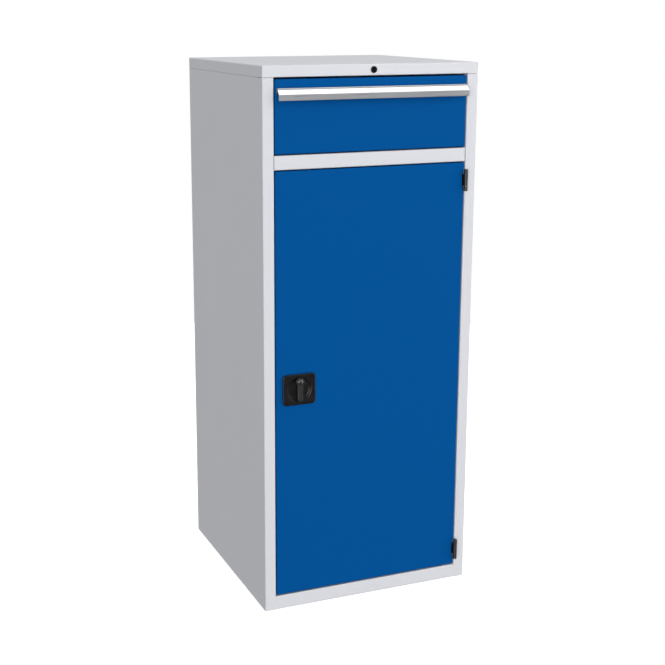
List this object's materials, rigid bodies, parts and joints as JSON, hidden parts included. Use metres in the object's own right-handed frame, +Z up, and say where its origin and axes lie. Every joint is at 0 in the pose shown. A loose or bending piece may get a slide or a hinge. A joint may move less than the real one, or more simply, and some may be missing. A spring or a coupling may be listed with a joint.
{
  "type": "storage cupboard",
  "caption": "Free-standing sheet-steel tool cupboard: drawer with handle strip on full-extension runners above a lever-locked hinged door with shelves behind it.",
  "frame": {"origin": "on the floor under the middle of the overall footprint, handle strip included", "axes": "+Z up, -Y towards the front, +X to the right seen from the front"},
  "size_m": [0.5, 0.5175, 1.2],
  "materials": {
    "carcass_grey": "light grey powder coat",
    "front_blue": "blue powder coat",
    "handle_aluminium": "satin anodised extrusion",
    "label_paper": "white card",
    "label_clear": "clear cover",
    "lock_black": "black moulded polyamide",
    "hinge_black": "black coated steel",
    "key_chrome": "polished chrome",
    "key_black": "black plated brass",
    "runner_zinc": "zinc-plated steel",
    "lock_zinc": "zinc-plated steel",
    "washer_brass": "plain brass",
    "buffer_rubber": "black rubber"
  },
  "bodies": {
    "carcass": {"left_side": "carcass_grey", "right_side": "carcass_grey", "back_panel": "carcass_grey", "top_cap": "carcass_grey", "base_pan": "carcass_grey", "plinth_rail": "carcass_grey", "middle_rail": "carcass_grey", "divider_deck": "carcass_grey", "shelf_upper": "carcass_grey", "shelf_lower": "carcass_grey", "shelf_post_left_front": "carcass_grey", "shelf_post_right_front": "carcass_grey", "shelf_post_left_rear": "carcass_grey", "shelf_post_right_rear": "carcass_grey", "cap_carrier_left": "carcass_grey", "cap_carrier_right": "carcass_grey", "runner_brackets": "carcass_grey", "door_stops": "carcass_grey", "drawer_lock_body": "lock_black", "hinge_frame_leaf_top": "hinge_black", "hinge_frame_leaf_bottom": "hinge_black", "runner_cabinet_rail_left": "runner_zinc", "runner_cabinet_rail_right": "runner_zinc", "shelf_clips": "runner_zinc", "drawer_lock_nut": "lock_zinc", "hinge_pins": "lock_zinc", "hinge_washers": "washer_brass", "door_buffers": "buffer_rubber"},
    "drawer": {"drawer_front": "front_blue", "drawer_tray": "carcass_grey", "drawer_front_screws": "lock_zinc", "handle_strip": "handle_aluminium", "label_strip": "label_paper", "label_cover": "label_clear", "runner_drawer_rail_left": "runner_zinc", "runner_drawer_rail_right": "runner_zinc"},
    "runner_middles": {"runner_middle_rail_left": "runner_zinc", "runner_middle_rail_right": "runner_zinc"},
    "outer_cages": {"runner_outer_cage_left": "runner_zinc", "runner_outer_cage_right": "runner_zinc"},
    "inner_cages": {"runner_inner_cage_left": "runner_zinc", "runner_inner_cage_right": "runner_zinc"},
    "door": {"door_panel": "front_blue", "door_stiffener": "front_blue", "hinge_door_leaf_top": "hinge_black", "hinge_door_leaf_bottom": "hinge_black", "lock_plate": "lock_black", "lock_body": "lock_zinc", "lock_case": "lock_zinc", "lock_case_screws": "lock_zinc", "rod_guides": "lock_black"},
    "lever": {"door_lever": "lock_black", "lever_spindle": "lock_zinc", "lever_pinion": "lock_zinc"},
    "lever_key": {"lever_plug": "key_chrome"},
    "top_rod": {"lock_rod_top": "lock_zinc"},
    "bottom_rod": {"lock_rod_bottom": "lock_zinc"},
    "drawer_key": {"drawer_lock_plug": "key_black", "drawer_lock_cam": "lock_zinc"}
  },
  "joints": [
    {"name": "drawer_slide", "type": "slide", "parent": "carcass", "child": "drawer", "axis": [0, -1, 0], "range_m": [0, 0.42]},
    {"name": "runner_middle_slide", "type": "slide", "parent": "carcass", "child": "runner_middles", "axis": [0, -1, 0], "range_m": [0, 0.21]},
    {"name": "outer_cage_slide", "type": "slide", "parent": "carcass", "child": "outer_cages", "axis": [0, -1, 0], "range_m": [0, 0.105]},
    {"name": "inner_cage_slide", "type": "slide", "parent": "carcass", "child": "inner_cages", "axis": [0, -1, 0], "range_m": [0, 0.315]},
    {"name": "door_hinge", "type": "hinge", "parent": "carcass", "child": "door", "pos_m": [0.22375, -0.24725, 0.509], "axis": [0, 0, 1], "range_deg": [0, 180]},
    {"name": "lever_turn", "type": "hinge", "parent": "door", "child": "lever", "pos_m": [-0.1704, -0.24125, 0.528], "axis": [0, 1, 0], "range_deg": [0, 90]},
    {"name": "lever_key_turn", "type": "hinge", "parent": "lever", "child": "lever_key", "pos_m": [-0.1704, -0.24125, 0.528], "axis": [0, 1, 0], "range_deg": [0, 90]},
    {"name": "top_rod_slide", "type": "slide", "parent": "door", "child": "top_rod", "axis": [0, 0, 1], "range_m": [0, 0.01257]},
    {"name": "bottom_rod_slide", "type": "slide", "parent": "door", "child": "bottom_rod", "axis": [0, 0, -1], "range_m": [0, 0.01257]},
    {"name": "drawer_key_turn", "type": "hinge", "parent": "carcass", "child": "drawer_key", "pos_m": [0, -0.24125, 1.188], "axis": [0, 1, 0], "range_deg": [0, 90]}
  ],
  "couplings": [
    {"joint": "runner_middle_slide", "follows": "drawer_slide", "ratio": 0.5},
    {"joint": "outer_cage_slide", "follows": "drawer_slide", "ratio": 0.25},
    {"joint": "inner_cage_slide", "follows": "drawer_slide", "ratio": 0.75},
    {"joint": "lever_turn", "follows": "top_rod_slide", "rad_per_m": 125},
    {"joint": "bottom_rod_slide", "follows": "top_rod_slide", "ratio": 1}
  ]
}
